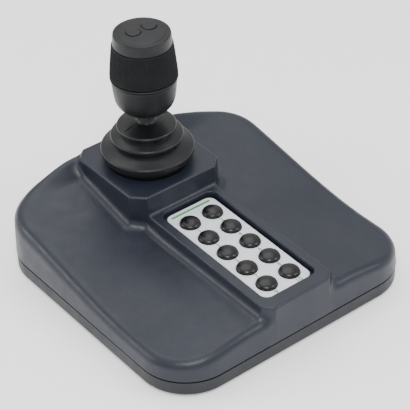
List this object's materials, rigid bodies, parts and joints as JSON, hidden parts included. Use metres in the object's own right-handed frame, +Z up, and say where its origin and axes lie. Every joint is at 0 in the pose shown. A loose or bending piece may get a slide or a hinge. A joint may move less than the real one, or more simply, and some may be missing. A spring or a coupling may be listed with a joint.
{
  "type": "hand controller",
  "caption": "Desktop hand controller with a sprung tilting and twisting joystick on a bellows boot, thumb buttons, a numbered keypad and a sloped palm-rest housing.",
  "frame": {"origin": "on the floor under the middle of the footprint, at the bottom of the feet", "axes": "+X to the user's right, +Y away from the user towards the stick, +Z up"},
  "size_m": [0.195, 0.194, 0.1528],
  "materials": {
    "slate_plastic": "fine moulded texture, dark slate grey",
    "base_plastic": "fine moulded texture, darker neutral grey",
    "black_plastic": "smooth satin, charcoal",
    "grip_rubber": "matt, near black, fine upright ribs",
    "boot_rubber": "matt moulded rubber, dark grey",
    "key_gloss": "polished black domes",
    "silver_plate": "fine-grained silver face with small green numbers",
    "silicone": "translucent grey, satin",
    "circuit_board": "solder-masked laminate",
    "steel": "plated",
    "nylon": "natural, satin",
    "frame_plastic": "glass-filled, matt",
    "foot_rubber": "matt black",
    "chip_epoxy": "matt black",
    "ribbon_grey": "soft vinyl, grey"
  },
  "bodies": {
    "root": {"base_plate": "base_plastic", "keypad_plate": "silver_plate", "keypad_board": "circuit_board", "gimbal_frame": "frame_plastic", "boot": "boot_rubber", "boot_clamp_ring": "steel", "main_board": "circuit_board", "data_socket": "steel", "socket_tongue": "nylon", "keypad_ribbon": "ribbon_grey", "base_screw_1": "steel", "gimbal_screw_1": "steel", "base_screw_2": "steel", "gimbal_screw_2": "steel", "base_screw_3": "steel", "gimbal_screw_3": "steel", "base_screw_4": "steel", "gimbal_screw_4": "steel", "keypad_screw_1": "steel", "board_screw_1": "steel", "keypad_screw_2": "steel", "board_screw_2": "steel", "foot_front_left": "foot_rubber", "foot_front_right": "foot_rubber", "foot_back_left": "foot_rubber", "foot_back_right": "foot_rubber", "top_housing": "slate_plastic", "key_mat": "silicone", "fore_aft_sensor": "circuit_board", "fore_aft_spring": "steel", "stick_lead": "ribbon_grey"},
    "yoke": {"gimbal_yoke": "nylon", "yoke_pin_left": "steel", "yoke_pin_right": "steel", "side_sensor": "circuit_board", "side_spring": "steel"},
    "stick": {"stick_hub": "nylon", "stick_shaft": "steel", "knob_bowl": "black_plastic", "twist_sensor": "chip_epoxy", "twist_spring": "steel"},
    "knob": {"knob_core": "frame_plastic", "bead_ring": "black_plastic", "knob_sleeve": "grip_rubber", "knob_cap": "black_plastic", "knob_retaining_screw": "steel", "button_board": "circuit_board"},
    "thumb_left": {"button_left": "black_plastic"},
    "thumb_right": {"button_right": "black_plastic"},
    "key_1": {"key_1": "key_gloss"},
    "key_2": {"key_2": "key_gloss"},
    "key_3": {"key_3": "key_gloss"},
    "key_4": {"key_4": "key_gloss"},
    "key_5": {"key_5": "key_gloss"},
    "key_6": {"key_6": "key_gloss"},
    "key_7": {"key_7": "key_gloss"},
    "key_8": {"key_8": "key_gloss"},
    "key_9": {"key_9": "key_gloss"},
    "key_10": {"key_10": "key_gloss"}
  },
  "joints": [
    {"name": "stick_fore_aft", "type": "hinge", "parent": "root", "child": "yoke", "pos_m": [0, 0.0579, 0.032], "axis": [1, 0, 0], "range_deg": [-20, 20], "stiffness_Nm_per_rad": 0.45, "deforming": ["boot", "fore_aft_spring", "stick_lead"]},
    {"name": "stick_side", "type": "hinge", "parent": "yoke", "child": "stick", "pos_m": [0, 0.0579, 0.032], "axis": [0, 1, 0], "range_deg": [-20, 20], "stiffness_Nm_per_rad": 0.45, "deforming": ["side_spring"]},
    {"name": "knob_twist", "type": "hinge", "parent": "stick", "child": "knob", "pos_m": [0, 0.0579, 0.121], "axis": [0, 0, 1], "range_deg": [-30, 30], "stiffness_Nm_per_rad": 0.05, "deforming": ["twist_spring"]},
    {"name": "thumb_left_press", "type": "slide", "parent": "knob", "child": "thumb_left", "axis": [0, 0, -1], "range_m": [0, 0.0009], "stiffness_N_per_m": 500},
    {"name": "thumb_right_press", "type": "slide", "parent": "knob", "child": "thumb_right", "axis": [0, 0, -1], "range_m": [0, 0.0009], "stiffness_N_per_m": 500},
    {"name": "key_1_press", "type": "slide", "parent": "root", "child": "key_1", "axis": [0, 0.0227, -0.9997], "range_m": [0, 0.001], "stiffness_N_per_m": 500, "deforming": ["key_mat"]},
    {"name": "key_2_press", "type": "slide", "parent": "root", "child": "key_2", "axis": [0, 0.0227, -0.9997], "range_m": [0, 0.001], "stiffness_N_per_m": 500, "deforming": ["key_mat"]},
    {"name": "key_3_press", "type": "slide", "parent": "root", "child": "key_3", "axis": [0, 0.0227, -0.9997], "range_m": [0, 0.001], "stiffness_N_per_m": 500, "deforming": ["key_mat"]},
    {"name": "key_4_press", "type": "slide", "parent": "root", "child": "key_4", "axis": [0, 0.0227, -0.9997], "range_m": [0, 0.001], "stiffness_N_per_m": 500, "deforming": ["key_mat"]},
    {"name": "key_5_press", "type": "slide", "parent": "root", "child": "key_5", "axis": [0, 0.0227, -0.9997], "range_m": [0, 0.001], "stiffness_N_per_m": 500, "deforming": ["key_mat"]},
    {"name": "key_6_press", "type": "slide", "parent": "root", "child": "key_6", "axis": [0, 0.0227, -0.9997], "range_m": [0, 0.001], "stiffness_N_per_m": 500, "deforming": ["key_mat"]},
    {"name": "key_7_press", "type": "slide", "parent": "root", "child": "key_7", "axis": [0, 0.0227, -0.9997], "range_m": [0, 0.001], "stiffness_N_per_m": 500, "deforming": ["key_mat"]},
    {"name": "key_8_press", "type": "slide", "parent": "root", "child": "key_8", "axis": [0, 0.0227, -0.9997], "range_m": [0, 0.001], "stiffness_N_per_m": 500, "deforming": ["key_mat"]},
    {"name": "key_9_press", "type": "slide", "parent": "root", "child": "key_9", "axis": [0, 0.0227, -0.9997], "range_m": [0, 0.001], "stiffness_N_per_m": 500, "deforming": ["key_mat"]},
    {"name": "key_10_press", "type": "slide", "parent": "root", "child": "key_10", "axis": [0, 0.0227, -0.9997], "range_m": [0, 0.001], "stiffness_N_per_m": 500, "deforming": ["key_mat"]}
  ]
}
